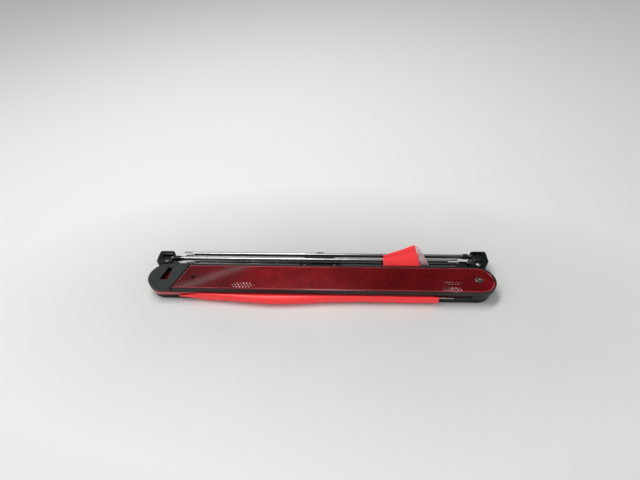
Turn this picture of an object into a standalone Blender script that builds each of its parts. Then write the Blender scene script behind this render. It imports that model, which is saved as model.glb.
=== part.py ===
"""A folding warning triangle, folded flat: three bars on two pivots, and four channel legs.

Metres, +X along the bars, +Y towards the triangle's bottom edge, +Z out of its front.
The origin is the middle of the base bar's back. Every dimension below is in millimetres.
"""

import math

import bmesh
import bpy
from mathutils import Matrix, Vector

MM = 0.001
PIVOT_X = 211.5
HALF_WIDTH = 22.5
BASE_Z = (0.0, 7.0)
MIDDLE_Z = (7.3, 14.3)
TOP_Z = (14.6, 21.6)
WALL = 1.6
BORDER = 1.6
LENS_SHIFT = -0.8
BASE_INSET = 0.8
BASE_ENDS = (-209.5, 208.5)
MIDDLE_ENDS = (-PIVOT_X, 208.5)
BOTH_ENDS = (-PIVOT_X, PIVOT_X)
SKIRT = 1.5
SKIRT_X = 150.0
LENS_DEPTH = 2.0
MIDDLE_LENS_DEPTH = 3.2
GAP = 0.3
RUNNING = 0.1
SLANT_X = 189.3
SLANT = 15.5 / 45.0
RIVET_R = 2.6
BOSS_R = 7.5
LENS_HOLE_R = 6.3
LATCH_XY = (200.15, -2.74)
LATCH_SLOT = ((-217.0, -7.0), (-206.0, -7.0), (-204.5, 14.0), (-211.2, 15.0))
LEG_TILT = math.radians(12.0)
LEG_PIN_X = 221.0
LEG_HALF = 3.0
LEG_DEPTH = 3.2
LEG_STEEL = 0.8
FRONT_LEG_Z = 19.6
REAR_LEG_Z = 4.0
OUTER_Y = 42.9
INNER_Y = 33.5
RIGHT_TIP_X = -195.0
LEFT_TIP_X = 190.0
KNUCKLE_X = (209.6, 231.5)
KNUCKLE_TOP = 24.4
KNUCKLE_STEP = 22.7
FILM = 0.5
FILM_X = (-187.0, 157.5)

for old in list(bpy.data.objects):
    bpy.data.objects.remove(old, do_unlink=True)

PARTS = bpy.data.collections.new("warning_triangle")
CUTTERS = bpy.data.collections.new("cutters")
bpy.context.scene.collection.children.link(PARTS)
bpy.context.scene.collection.children.link(CUTTERS)


def material(name, colour, metallic, roughness):
    made = bpy.data.materials.new(name)
    made.use_nodes = True
    shader = made.node_tree.nodes["Principled BSDF"]
    shader.inputs["Base Color"].default_value = (*colour, 1.0)
    shader.inputs["Metallic"].default_value = metallic
    shader.inputs["Roughness"].default_value = roughness
    made.diffuse_color = (*colour, 1.0)
    return made


LOOKS = {
    "black": ((0.03, 0.035, 0.037), 0.0, 0.5),
    "red": ((0.12, 0.006, 0.012), 0.0, 0.15),
    "fluorescent": ((0.95, 0.07, 0.06), 0.0, 0.4),
    "clear": ((0.85, 0.8, 0.78), 0.0, 0.3),
    "steel": ((0.6, 0.61, 0.62), 1.0, 0.35),
    "brass": ((0.7, 0.55, 0.3), 1.0, 0.3),
}


def arc(x, y, radius, start, end, count):
    """Points on an arc, in degrees, both ends included."""
    angles = [math.radians(start + (end - start) * i / count) for i in range(count + 1)]
    return [(x + radius * math.cos(a), y + radius * math.sin(a)) for a in angles]


def circle(x, y, radius, count=32):
    return arc(x, y, radius, 0, 360, count)[:-1]


def stadium(inset=0.0, left=None, right=None, slant=-SLANT, ends=BOTH_ENDS):
    """The bar's outline, inset. left and right cut an end on the slanted line there."""
    r = HALF_WIDTH - inset
    slope = math.hypot(1.0, SLANT)
    if right is None:
        points = arc(ends[1], 0, r, -90, 90, 20)
    else:
        x = right - inset * slope
        points = [(x - slant * r, -r), (x + slant * r, r)]
    if left is None:
        points += arc(ends[0], 0, r, 90, 270, 20)
    else:
        x = left + inset * slope
        points += [(x + SLANT * r, r), (x + SLANT * -r, -r)]
    return points


def rectangle(x0, x1, y0, y1, corner=0.0):
    if corner == 0.0:
        return [(x0, y0), (x1, y0), (x1, y1), (x0, y1)]
    points = arc(x1 - corner, y0 + corner, corner, -90, 0, 4)
    points += arc(x1 - corner, y1 - corner, corner, 0, 90, 4)
    points += arc(x0 + corner, y1 - corner, corner, 90, 180, 4)
    points += arc(x0 + corner, y0 + corner, corner, 180, 270, 4)
    return points


def solid(name, rings, look, pivot=(0, 0, 0), matrix=None, sharp=35):
    """A closed solid lofted through rings of points. look None makes a cutter."""
    shape = bmesh.new()
    rows = [[shape.verts.new(Vector(p) * MM) for p in ring] for ring in rings]
    for low, high in zip(rows, rows[1:]):
        for i in range(len(low)):
            j = (i + 1) % len(low)
            shape.faces.new((low[i], low[j], high[j], high[i]))
    shape.faces.new(rows[0][::-1])
    shape.faces.new(rows[-1])
    if matrix is not None:
        shape.transform(matrix)
    shape.transform(Matrix.Translation(Vector(pivot) * -MM))
    bmesh.ops.recalc_face_normals(shape, faces=shape.faces)
    mesh = bpy.data.meshes.new(name)
    shape.to_mesh(mesh)
    shape.free()
    made = bpy.data.objects.new(name, mesh)
    made.location = Vector(pivot) * MM
    if look is None:
        CUTTERS.objects.link(made)
        made.hide_render = True
        made.display_type = "WIRE"
        return made
    PARTS.objects.link(made)
    mesh.materials.append(material(name, *LOOKS[look]))
    mesh.shade_smooth()
    mesh.set_sharp_from_angle(angle=math.radians(sharp))
    return made


def levels(outline, *heights):
    """Rings of one outline at some heights."""
    return [[(x, y, z) for x, y in outline] for z in heights]


def prism(name, outline, low, high, look=None, pivot=(0, 0, 0)):
    return solid(name, levels(outline, low, high), look, pivot)


def turned(name, x, y, profile, look=None, pivot=(0, 0, 0), count=32):
    """A round solid on a vertical axis, from (radius, height) pairs going up."""
    rings = [[(px, py, z) for px, py in circle(x, y, r, count)] for r, z in profile]
    return solid(name, rings, look, pivot)


def combine(target, operation, *others):
    for other in others:
        modifier = target.modifiers.new(other.name, "BOOLEAN")
        modifier.operation = operation
        modifier.solver = "EXACT"
        modifier.object = other


def cut(target, *others):
    combine(target, "DIFFERENCE", *others)


def join(target, *others):
    combine(target, "UNION", *others)


def shifted(outline):
    """An outline moved to where the lens sits, nearer the bar's -Y edge."""
    return [(x, y + LENS_SHIFT) for x, y in outline]


def bar_rings(z0, z1, inset=0.0, ends=BOTH_ENDS, chamfer=0.5):
    """A bar's outside, with its two long edges eased."""
    rings = levels(stadium(inset + chamfer, ends=ends), z0)
    rings += levels(stadium(inset, ends=ends), z0 + chamfer, z1 - chamfer)
    rings += levels(stadium(inset + chamfer, ends=ends), z1)
    return rings


def lens(name, outline, top, pivot, inset=BORDER + GAP, depth=LENS_DEPTH):
    """A reflector with a bevelled rim: outline is a function of the inset."""
    rings = levels(outline(inset), top - depth + GAP)
    rings += levels(outline(inset), top - 0.5)
    rings += levels(outline(inset + 0.7), top)
    return solid(name, rings, "red", pivot)


def dome(radius, z, height):
    """The profile of a rivet's head that stands on z."""
    return [(radius, z), (radius, z + 0.3 * height), (0.8 * radius, z + 0.75 * height), (0.4 * radius, z + height)]


def base_pockets():
    made = []
    for i in range(6):
        x = -186.0 + 62.4 * i
        made.append(prism(f"base_pocket_{i}", rectangle(x, x + 60.0, -18.5, 18.5), 1.6, 5.5))
    return made


def make_base():
    frame = solid("base_frame", bar_rings(*BASE_Z, BASE_INSET, BASE_ENDS), "black")
    inset = BASE_INSET + BORDER
    cut(frame, prism("base_recess", stadium(inset, ends=BASE_ENDS), 5.0, 8.0))
    cut(frame, *base_pockets())
    for side, name in ((1, "right"), (-1, "left")):
        x = side * PIVOT_X
        outline = rectangle(*sorted((side * 212.5, side * 229.5)), 7.0, 28.4, 1.5)
        join(frame, prism(f"base_{name}_lug", outline, 0.0, 4.9))
        join(frame, turned(f"base_{name}_boss", x, 0, [(6.0, 1.0), (6.0, 7.0)]))
        cut(frame, turned(f"base_{name}_pivot_hole", x, 0, [(RIVET_R + RUNNING, -1.0), (RIVET_R + RUNNING, 8.0)]))
        cut(frame, turned(f"base_{name}_counterbore", x, 0, [(4.6, -1.0), (4.6, 1.5)]))
        x = side * 216.0
        cut(frame, turned(f"base_{name}_screw_hole", x, 25.8, [(1.6, -1.0), (1.6, 6.0)], count=16))
    join(frame, prism("base_middle_lug", rectangle(-27.0, 27.0, 15.0, 30.5, 1.0), 0.0, 4.9))
    join(frame, prism("base_middle_lug_top", rectangle(-27.0, 27.0, 21.5, 30.5, 1.0), 0.0, 6.7))
    for side in (1, -1):
        cut(frame, turned(f"base_clip_hole_{side}", side * 21.0, 27.0, [(1.6, -1.0), (1.6, 8.0)], count=16))
    outline = lambda d: stadium(d, ends=BASE_ENDS)
    reflector = lens("base_lens", outline, BASE_Z[1], (0, 0, 0), inset + GAP)
    for side in (1, -1):
        cut(reflector, turned(f"base_lens_hole_{side}", side * PIVOT_X, 0, [(LENS_HOLE_R, 4.0), (LENS_HOLE_R, 8.0)]))


def tray(name, z, side, hollow, depth, pivot, ends=BOTH_ENDS):
    """An arm's black tray: reflector recess in front, open hollow behind, boss at its pivot."""
    frame = solid(name, bar_rings(*z, ends=ends), "black", pivot)
    top = z[1] - depth
    cut(frame, hollow)
    join(frame, turned(f"{name}_boss", side * PIVOT_X, 0, [(BOSS_R, z[0]), (BOSS_R, top - 1.0)]))
    join(frame, turned(f"{name}_seat", side * PIVOT_X, 0, [(5.9, z[0]), (5.9, z[1] - depth)]))
    for i in range(5):
        rib = rectangle(-120.0 + 60.0 * i, -118.6 + 60.0 * i, -21.5, 21.5)
        join(frame, prism(f"{name}_rib_{i}", rib, z[0] + 1.0, top - 1.0))
    return frame


def make_top_arm():
    pivot = (PIVOT_X, 0, 0)
    low, high = TOP_Z
    split = -SLANT_X - 0.5
    hollow = prism("top_hollow", stadium(WALL, left=split - 9.0), low - 1.0, high - LENS_DEPTH - WALL)
    frame = tray("top_arm_frame", TOP_Z, 1, hollow, LENS_DEPTH, pivot)
    recess = shifted(stadium(BORDER, left=split - 4.0))
    cut(frame, prism("top_recess", recess, high - LENS_DEPTH, high + 1.0))
    join(frame, turned("top_seat_again", PIVOT_X, 0, [(5.9, high - 3.0), (5.9, high - LENS_DEPTH + 0.01)]))
    outside = stadium(-2.0, right=split, slant=SLANT)
    cut(frame, prism("top_frame_end", outside, low - 1.0, high + 1.0))
    hole = [(RIVET_R + RUNNING, low - 1.0), (RIVET_R + RUNNING, high + 1.0)]
    cut(frame, turned("top_pivot_hole", PIVOT_X, 0, hole))

    rings = levels(stadium(0.5, right=split - 0.25, slant=SLANT), low)
    rings += levels(stadium(0.0, right=split - 0.25, slant=SLANT), low + 0.5, high - 0.5)
    rings += levels(stadium(0.5, right=split - 0.25, slant=SLANT), high)
    cap = solid("top_arm_cap", rings, "black", pivot)
    hollow = stadium(2.0, right=-203.5, slant=0.0)
    cut(cap, prism("top_cap_hollow", hollow, low - 1.0, high - 2.6))
    tongue = rectangle(-202.5, -176.0, -13.0, 13.0)
    join(cap, prism("top_cap_tongue", tongue, low + 0.6, high - LENS_DEPTH - WALL - 0.3))
    cut(cap, prism("top_latch_slot", LATCH_SLOT, low - 1.0, high + 1.0))
    end = split + 0.4 - (BORDER + GAP) * math.hypot(1.0, SLANT) - SLANT * LENS_SHIFT
    reflector = lens("top_arm_lens", lambda d: shifted(stadium(d, left=end)), high, pivot)
    cut(reflector, turned("top_lens_hole", PIVOT_X, 0, [(LENS_HOLE_R, high - 3.0), (LENS_HOLE_R, high + 1.0)]))
    cut(reflector, turned("top_lens_dimple", -171.0, -2.0, [(1.8, high - 1.0), (1.8, high + 1.0)], count=16))


def make_middle_arm():
    pivot = (-PIVOT_X, 0, 0)
    low, high = MIDDLE_Z
    depth = MIDDLE_LENS_DEPTH
    hollow = prism("middle_hollow", stadium(SKIRT + GAP + WALL, right=SLANT_X), low - 1.0, high - depth - WALL)
    frame = tray("middle_arm_frame", MIDDLE_Z, -1, hollow, depth, pivot, MIDDLE_ENDS)
    recess = prism("middle_recess", stadium(-2.0, right=SLANT_X + 0.5), high - depth, high + 1.0)
    cut(frame, recess)
    room = prism("middle_skirt_room", stadium(-2.0, right=SKIRT_X + GAP, slant=0.0), low + 0.8, high + 1.0)
    cut(room, prism("middle_skirt_core", stadium(SKIRT + GAP, right=SKIRT_X + 9.0, slant=0.0), low, high + 2.0))
    cut(frame, room)
    notch = arc(PIVOT_X, 0, 7.2, 180, 360, 16) + [(PIVOT_X + 7.2, 30.0), (PIVOT_X - 8.2, 30.0)]
    cut(frame, prism("middle_notch", notch, low - 1.0, high + 1.0))
    x, y = LATCH_XY
    cut(frame, turned("latch_hole", x, y, [(2.1, low - 1.0), (2.1, high + 1.0)]))
    cut(frame, turned("latch_counterbore", x, y, [(3.6, low - 1.0), (3.6, high - 2.0)]))
    hole = [(RIVET_R + RUNNING, low - 1.0), (RIVET_R + RUNNING, high + 1.0)]
    cut(frame, turned("middle_pivot_hole", -PIVOT_X, 0, hole))
    outline = lambda d: stadium(d, right=SLANT_X)
    reflector = lens("middle_arm_lens", outline, high, pivot, 0.0, depth)
    cut(reflector, turned("middle_lens_hole", -PIVOT_X, 0, [(LENS_HOLE_R, low), (LENS_HOLE_R, high - 1.0)]))
    skirt = prism("middle_skirt", stadium(0.02, right=SKIRT_X, slant=0.0), low + 1.1, high - depth + 1.0)
    cut(skirt, prism("middle_skirt_inside", stadium(SKIRT, right=SKIRT_X + 9.0, slant=0.0), low, high))
    join(reflector, skirt)
    profile = [(3.3, low + 0.3), (3.3, low + 1.5), (2.0, low + 1.5), (2.0, high - 0.6), (1.5, high - 0.1)]
    turned("latch_bolt", x, y, profile, "black", (x, y, low))


def make_pivots():
    base, top = BASE_Z[1], TOP_Z[0]
    post = turned("right_spacer_post", PIVOT_X, 0, [(6.0, base + 0.1), (6.0, top - 0.1)], "black")
    cut(post, turned("spacer_hole", PIVOT_X, 0, [(RIVET_R + RUNNING, 6.0), (RIVET_R + RUNNING, 16.0)]))
    for name, x, seat in (("right", PIVOT_X, TOP_Z[1] - LENS_DEPTH), ("left", -PIVOT_X, MIDDLE_Z[1] - MIDDLE_LENS_DEPTH)):
        profile = [(3.6, 0.2), (4.2, 0.6), (4.2, 1.4), (RIVET_R, 1.4), (RIVET_R, seat + 0.6)]
        profile += dome(3.9, seat + 0.6, 1.2)
        turned(f"{name}_pivot_rivet", x, 0, profile, "brass")
        washer = turned(f"{name}_pivot_washer", x, 0, [(5.8, seat + 0.1), (5.8, seat + 0.5)], "steel")
        cut(washer, turned(f"{name}_washer_hole", x, 0, [(RIVET_R + RUNNING, seat - 1.0), (RIVET_R + RUNNING, seat + 2.0)]))


def tilted(y, z, lean):
    """Turns a shape built about the X axis so that its own Z leans towards +Y, and puts it at y, z."""
    return Matrix.Translation(Vector((0, y, z)) * MM) @ Matrix.Rotation(-lean, 4, "X")


def rod(name, x, y, z, lean, radius, start, end, look=None, count=24, pivot=(0, 0, 0)):
    """A round bar along Y, tilted by lean, whose middle passes through x, y, z."""
    rings = [[(x + a, s, b) for a, b in circle(0, 0, radius, count)] for s in (start, end)]
    return solid(name, rings, look, pivot, tilted(y, z, lean))


def make_knuckle(side, name, track, far):
    x0, x1 = sorted((side * KNUCKLE_X[0], side * KNUCKLE_X[1]))
    rings = levels(rectangle(x0, x1, 23.3, far, 2.5), 0.2, KNUCKLE_TOP - 0.8)
    rings += levels(rectangle(x0 + 0.8, x1 - 0.8, 24.1, far - 0.8, 1.8), KNUCKLE_TOP)
    block = solid(f"{name}_knuckle", rings, "black")
    step = rectangle(x0 - 5.0, x1 + 5.0, 20.0, 30.5)
    cut(block, prism(f"{name}_knuckle_step", step, KNUCKLE_STEP, KNUCKLE_TOP + 5.0))
    cut(block, prism(f"{name}_knuckle_foot", rectangle(x0 - 5.0, x1 + 5.0, 20.0, 28.7), -1.0, 5.2))
    x = side * 216.0
    cut(block, turned(f"{name}_knuckle_hole", x, 25.8, [(1.6, -1.0), (1.6, 30.0)], count=16))
    profile = [(1.3, 0.3), (1.3, KNUCKLE_STEP + 0.1)] + dome(3.0, KNUCKLE_STEP + 0.1, 1.6)
    turned(f"{name}_knuckle_rivet", x, 25.8, profile, "steel", count=24)
    for level, z, up in (("front", FRONT_LEG_Z, 1), ("rear", REAR_LEG_Z, -1)):
        lean = up * LEG_TILT
        inner, outer = sorted((side * 190.0, side * (LEG_PIN_X + 4.0)))
        z0, z1 = sorted((up * -3.7, up * 12.0))
        rings = levels(rectangle(inner, outer, -2.7, 2.7), z0, z1)
        cut(block, solid(f"{name}_{level}_slot", rings, None, matrix=tilted(track, z, lean)))
        pin = side * LEG_PIN_X
        reach = (far - track) / math.cos(LEG_TILT)
        cut(block, rod(f"{name}_{level}_pin_hole", pin, track, z, lean, 1.6, -4.7, reach + 4.0))
        rod(f"{name}_{level}_leg_pin", pin, track, z, lean, 1.5, -4.5, reach - 1.2, "steel")


def make_leg(side, name, level, track, z, lean, tip, sleeve_x):
    """A steel channel, open towards -Y, on a black socket that turns on the knuckle's pin."""
    pivot = (side * LEG_PIN_X, track, z)
    near = track - LEG_DEPTH / 2
    back = track + LEG_DEPTH / 2
    h, s = LEG_HALF, LEG_STEEL
    section = [(near, z - h), (back, z - h), (back, z + h), (near, z + h)]
    section += [(near, z + h - s), (back - s, z + h - s), (back - s, z - h + s), (near, z - h + s)]
    root = side * 214.0
    end = tip + side * 12.0
    rings = [[(x, y, q) for y, q in section] for x in (root, end)]
    leg = solid(f"{name}_{level}_leg", rings, "steel", pivot)
    for up in (1, -1):
        prong = []
        for x, flare in ((end + side * 1.0, 0.0), (tip, 0.7)):
            outer = z + up * (h + flare)
            inner = outer - up * s
            prong.append([(x, near, inner), (x, back, inner), (x, back, outer), (x, near, outer)])
        join(leg, solid(f"{name}_{level}_prong_{up}", prong, None))
    rings = [[(side * LEG_PIN_X + a, p, b) for a, b in circle(0, 0, LEG_HALF, 24)] for p in (-1.7, 1.7)]
    socket = solid(f"{name}_{level}_leg_socket", rings, "black", pivot, tilted(track, z, lean))
    x0, x1 = sorted((side * (sleeve_x[0] - 2.5), side * 219.5))
    core = levels(rectangle(x0, x1, near - 0.5, back - s - 0.3), z - h + s + 0.3, z + h - s - 0.3)
    join(socket, solid(f"{name}_{level}_core", core, None))
    x0, x1 = sorted((side * sleeve_x[0], side * sleeve_x[1]))
    sleeve = levels(rectangle(x0, x1, near - 0.8, back + 0.8), z - h - 0.8, z + h + 0.8)
    sleeve = solid(f"{name}_{level}_sleeve", sleeve, None)
    inside = levels(rectangle(x0 - 2.0, x1 + 2.0, near - 0.2, back + 0.2), z - h - 0.2, z + h + 0.2)
    cut(sleeve, solid(f"{name}_{level}_sleeve_bore", inside, None))
    join(socket, sleeve)
    bore = rod(f"{name}_{level}_socket_bore", side * LEG_PIN_X, track, z, lean, 1.5 + RUNNING, -6.0, 6.0)
    cut(socket, bore)


def make_clip():
    outline = [(-29.0, 23.3), (29.0, 23.3), (29.0, 30.5), (22.0, 42.0), (9.0, 47.0), (7.0, 51.4)]
    outline += [(-7.0, 51.4), (-9.0, 47.0), (-22.0, 42.0), (-29.0, 30.5)]
    clip = prism("centre_clip", outline, 12.0, 15.0, "black")
    join(clip, prism("clip_foot", rectangle(-27.0, 27.0, 23.4, 30.4, 1.0), 7.0, 14.0))
    hook = [(-6.8, 7.0), (6.8, 7.0), (6.8, 17.0), (4.5, 18.8), (1.5, 19.6), (-1.5, 19.6), (-4.5, 18.8), (-6.8, 17.0)]
    join(clip, solid("clip_hook", [[(x, y, z) for x, z in hook] for y in (47.4, 51.2)], None))
    for side in (1, -1):
        name = "right" if side > 0 else "left"
        x = side * 21.0
        cut(clip, turned(f"clip_hole_{side}", x, 27.0, [(1.6, 0.0), (1.6, 20.0)], count=16))
        profile = [(1.3, 0.3), (1.3, 15.1)] + dome(2.4, 15.1, 1.1)
        turned(f"{name}_clip_rivet", x, 27.0, profile, "steel", count=20)


def sheet(name, rows, look, thickness=FILM, pivot=(0, 0, 0)):
    """A thin sheet: rows of points, given thickness on the side its faces look to."""
    shape = bmesh.new()
    grid = [[shape.verts.new((Vector(p) - Vector(pivot)) * MM) for p in row] for row in rows]
    for one, two in zip(grid, grid[1:]):
        for i in range(len(one) - 1):
            shape.faces.new((one[i], one[i + 1], two[i + 1], two[i]))
    mesh = bpy.data.meshes.new(name)
    shape.to_mesh(mesh)
    shape.free()
    made = bpy.data.objects.new(name, mesh)
    made.location = Vector(pivot) * MM
    PARTS.objects.link(made)
    mesh.materials.append(material(name, *LOOKS[look]))
    mesh.shade_smooth()
    thick = made.modifiers.new("thickness", "SOLIDIFY")
    thick.thickness = thickness * MM
    thick.offset = 0.0
    return made


def bulge(x):
    """How far the base bar's film stands out in front, along the bar."""
    peak = math.exp(-(((x + 58.0) / 62.0) ** 2))
    return 1.3 + 1.5 * grown(x, 60.0) + 6.4 * peak * grown(x, 60.0)


def grown(x, length):
    """From 0 at the film's pointed end to 1 this far along."""
    t = min(1.0, max(0.0, (x - FILM_X[0]) / length))
    return t * t * (3.0 - 2.0 * t)


def film_section(x):
    """Up the base bar's wall, over a fold, and down outside it."""
    w = bulge(x)
    crest = 9.2 + 4.8 * grown(x, 34.0)
    foot = 7.0 - 5.4 * grown(x, 44.0) + 0.5 * math.sin(x / 23.0) * grown(x, 60.0)
    foot += 1.4 * min(1.0, max(0.0, (x - 20.0) / 60.0))
    low = 6.6 - 5.4 * grown(x, 40.0)
    inner = [(-23.3, low + (crest - 0.6 - low) * t) for t in (0.0, 0.4, 0.8)]
    inner.append((-23.6, crest - 0.6))
    outer = [(-0.35, 0.0), (-0.75, 0.08), (-1.0, 0.30), (-1.0, 0.55), (-0.85, 0.80), (-0.7, 1.0)]
    return inner + [(-23.4 + w * a, crest - (crest - foot) * b) for a, b in outer]


def make_films():
    stations = [FILM_X[0] + (FILM_X[1] - FILM_X[0]) * i / 36 for i in range(37)]
    rows = [[(x, y, z) for y, z in film_section(x)] for x in stations]
    sheet("base_film", rows, "fluorescent")
    tab = [[(x, -24.6, z) for z in (10.8, 12.2, 13.6)] for x in (158.2, 164.0, 170.0, 176.0)]
    sheet("base_film_tab", tab, "clear", 0.4)
    clamp = levels(rectangle(-150.0, 150.0, -22.9 - 1.4, -22.9 - 0.75), 1.4, 4.4)
    solid("base_film_clamp", clamp, "black")
    pivot = (PIVOT_X, 0, 0)
    rows = []
    for i in range(13):
        x = 88.0 + 49.5 * i / 12
        t = i / 12
        top_y, top_z = 31.0 + 11.0 * t, 33.0 + 10.0 * t
        wave = 0.7 * math.sin(9.0 * t)
        row = [(x, 23.2, 17.0), (x, 23.2, 20.0), (x, 23.5, 22.2)]
        for s in (0.2, 0.4, 0.6, 0.8, 1.0):
            row.append((x - 7.2 * t * s, 23.6 + (top_y - 23.6) * s, 22.8 + (top_z - 22.8) * s ** 0.85 + wave * s))
        rows.append(row)
    sheet("top_arm_film", rows, "fluorescent", pivot=pivot)
    rows = []
    for i in range(4):
        t = i / 3
        row = []
        for s in (0.0, 0.3, 0.6, 0.95):
            x = 138.3 - 7.2 * s + t * (11.9 - 9.4 * s)
            row.append((x, 23.6 + 18.0 * s, 22.9 + 19.6 * s ** 0.85))
        rows.append(row)
    sheet("top_arm_film_tab", rows, "clear", 0.4, pivot)
    solid("top_arm_film_clamp", levels(rectangle(86.0, 139.5, 23.75, 24.6), 17.0, 20.0), "black", pivot)
    pivot = (-PIVOT_X, 0, 0)
    fold = [(18.5, 7.8), (5.0, 7.8), (3.9, 8.05), (3.9, 8.45), (5.0, 8.7), (17.4, 8.7)]
    rows = [[(x, y, z) for y, z in fold] for x in (-115.0, -60.6)]
    sheet("middle_arm_film", rows, "fluorescent", pivot=pivot)


make_base()
make_top_arm()
make_middle_arm()
make_pivots()
make_knuckle(1, "right", OUTER_Y, 49.8)
make_knuckle(-1, "left", INNER_Y, 44.8)
make_leg(1, "right", "front", OUTER_Y, FRONT_LEG_Z, LEG_TILT, RIGHT_TIP_X, (199.0, 206.0))
make_leg(1, "right", "rear", OUTER_Y, REAR_LEG_Z, -LEG_TILT, RIGHT_TIP_X - 4.0, (196.0, 208.0))
make_leg(-1, "left", "front", INNER_Y, FRONT_LEG_Z, LEG_TILT, LEFT_TIP_X, (198.0, 206.0))
make_leg(-1, "left", "rear", INNER_Y, REAR_LEG_Z, -LEG_TILT, LEFT_TIP_X - 2.0, (191.0, 208.0))
make_clip()
make_films()
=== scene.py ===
"""Looks for the folded warning triangle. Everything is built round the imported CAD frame."""

import math

import bmesh
import bpy
from mathutils import Matrix, Vector


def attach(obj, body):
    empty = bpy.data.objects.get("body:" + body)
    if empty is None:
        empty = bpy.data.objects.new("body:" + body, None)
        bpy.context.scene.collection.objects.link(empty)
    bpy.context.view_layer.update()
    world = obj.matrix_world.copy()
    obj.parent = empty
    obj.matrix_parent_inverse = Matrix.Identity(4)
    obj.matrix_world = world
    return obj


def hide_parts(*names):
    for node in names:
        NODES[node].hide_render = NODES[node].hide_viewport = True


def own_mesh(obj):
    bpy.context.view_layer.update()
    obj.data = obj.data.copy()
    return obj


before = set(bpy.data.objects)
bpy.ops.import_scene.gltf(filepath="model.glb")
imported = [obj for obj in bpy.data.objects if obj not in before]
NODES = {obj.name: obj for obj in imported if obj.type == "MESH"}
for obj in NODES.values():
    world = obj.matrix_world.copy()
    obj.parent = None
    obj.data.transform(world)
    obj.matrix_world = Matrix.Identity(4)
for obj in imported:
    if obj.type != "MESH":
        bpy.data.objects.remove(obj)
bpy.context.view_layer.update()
MM = 0.001

# The same driving dimensions as the CAD, in millimetres.
PIVOT_X = 211.5
HALF_WIDTH = 22.5
BASE_Z = (0.0, 7.0)
MIDDLE_Z = (7.3, 14.3)
TOP_Z = (14.6, 21.6)
SLANT_X = 189.3
SLANT = 15.5 / 45.0
LEG_TILT = math.radians(12.0)
LEG_PIN_X = 221.0
BORDER = 1.9
LENS_SHIFT = -0.8
BASE_INSET = 0.8
BASE_ENDS = (-209.5, 208.5)
BOTH_ENDS = (-PIVOT_X, PIVOT_X)
FILM_X = (-187.0, 157.5)
OUTER_Y = 42.9
INNER_Y = 33.5
FRONT_Z = 19.6
REAR_Z = 4.0
LEG_ROOT_X = 214.0
KNUCKLE_X = (209.6, 231.5)
KNUCKLE_Y = 23.3
KNUCKLE_TOP = 24.4
KNUCKLE_STEP = 22.7
CORNER_X = 233.0
LENS_HOLE_R = 6.3
SKIRT_X = 150.0
PIT_XY = (-171.0, -2.0)
PIN_HOLE_R = 1.6
BAR_LENGTH = 468.0

# Painted glow of the prisms along a bar, standing for the light they send back: share of its length
# from the left end, strength.
PAINTED_PRISM_GLOW = (
    (0.04, 0.18),
    (0.26, 0.26),
    (0.40, 0.80),
    (0.50, 0.66),
    (0.60, 0.34),
    (0.74, 0.16),
    (0.86, 0.34),
    (0.97, 0.42),
)
# Painted glints: patches on the front reflector painted with pale dots where its prisms throw a lamp's
# light back: x, y, half length, half width, strength.
PAINTED_GLINTS = (
    (-101.0, -14.5, 17.0, 5.2, 1.2),
    (178.5, -17.0, 10.0, 5.0, 1.3),
    (177.0, -6.0, 15.0, 3.0, 0.4),
)
PRISM_PITCH = 3.2
DOT_PITCH_X = 4.2
DOT_PITCH_Y = 3.2


# ---------------------------------------------------------------- materials


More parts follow.
